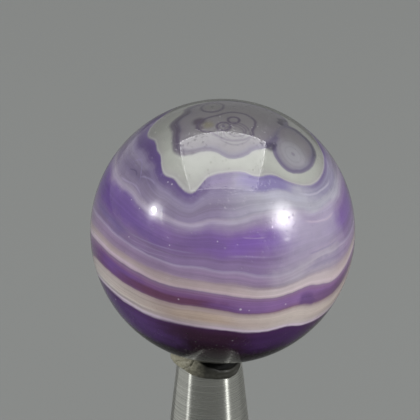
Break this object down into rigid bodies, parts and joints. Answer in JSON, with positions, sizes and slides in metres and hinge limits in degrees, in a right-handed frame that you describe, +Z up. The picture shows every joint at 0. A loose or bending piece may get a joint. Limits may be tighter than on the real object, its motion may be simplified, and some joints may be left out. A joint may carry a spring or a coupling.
{
  "type": "agate sphere on a stand",
  "caption": "Polished purple banded agate ball resting in a pressed putty seat on a tapered turned steel display post; the ball lifts off and turns with its seat.",
  "frame": {"origin": "centre of the box at its base: on the floor, straight below the centre of the ball", "axes": "+Z up, along the post; +X to the right as pictured, from the post's axis towards the ball's axis; the picture looks along +Y"},
  "size_m": [0.06, 0.06, 0.1232],
  "materials": {
    "agate": "polished",
    "putty": "matte",
    "steel": "fine turned"
  },
  "bodies": {
    "stand": {"tapered_post": "steel"},
    "seat": {"putty_seat": "putty"},
    "ball": {"agate_sphere": "agate"}
  },
  "joints": [
    {"name": "seat_turn", "type": "hinge", "parent": "stand", "child": "seat", "pos_m": [-0.003, 0, 0.06], "axis": [0, 0, 1], "continuous": true},
    {"name": "ball_lift", "type": "slide", "parent": "seat", "child": "ball", "axis": [0, 0, 1], "range_m": [0, 0.05]}
  ]
}
